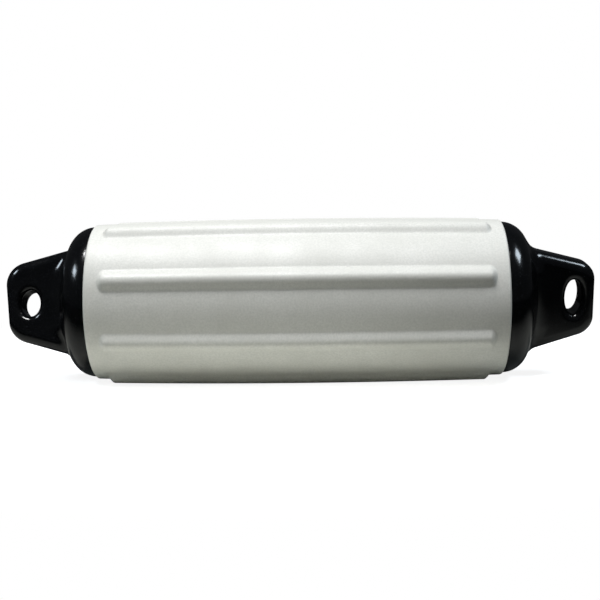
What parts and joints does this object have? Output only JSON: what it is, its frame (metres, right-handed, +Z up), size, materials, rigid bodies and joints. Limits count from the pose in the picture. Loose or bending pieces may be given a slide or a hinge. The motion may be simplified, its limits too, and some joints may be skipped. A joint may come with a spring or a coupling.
{
  "type": "pneumatic boat fender",
  "caption": "Ribbed inflatable boat fender with a white barrel body and black domed ends, each with a flat tab and an oval rope eye",
  "frame": {"origin": "the middle of the whole length, on the fender's own axis", "axes": "+X runs along the fender to the right end, +Y runs towards the back, roughly through the rope eyes, +Z is up, as the fender lies in the picture"},
  "size_m": [0.509, 0.1384, 0.1384],
  "materials": {
    "white_vinyl": "semi-gloss moulded white vinyl with a fine orange-peel skin",
    "black_vinyl": "glossy moulded black vinyl",
    "valve_rubber": "matt soft black rubber"
  },
  "bodies": {
    "root": {"fender_body": "white_vinyl", "left_end": "black_vinyl", "right_end": "black_vinyl", "needle_valve": "valve_rubber"}
  },
  "joints": []
}
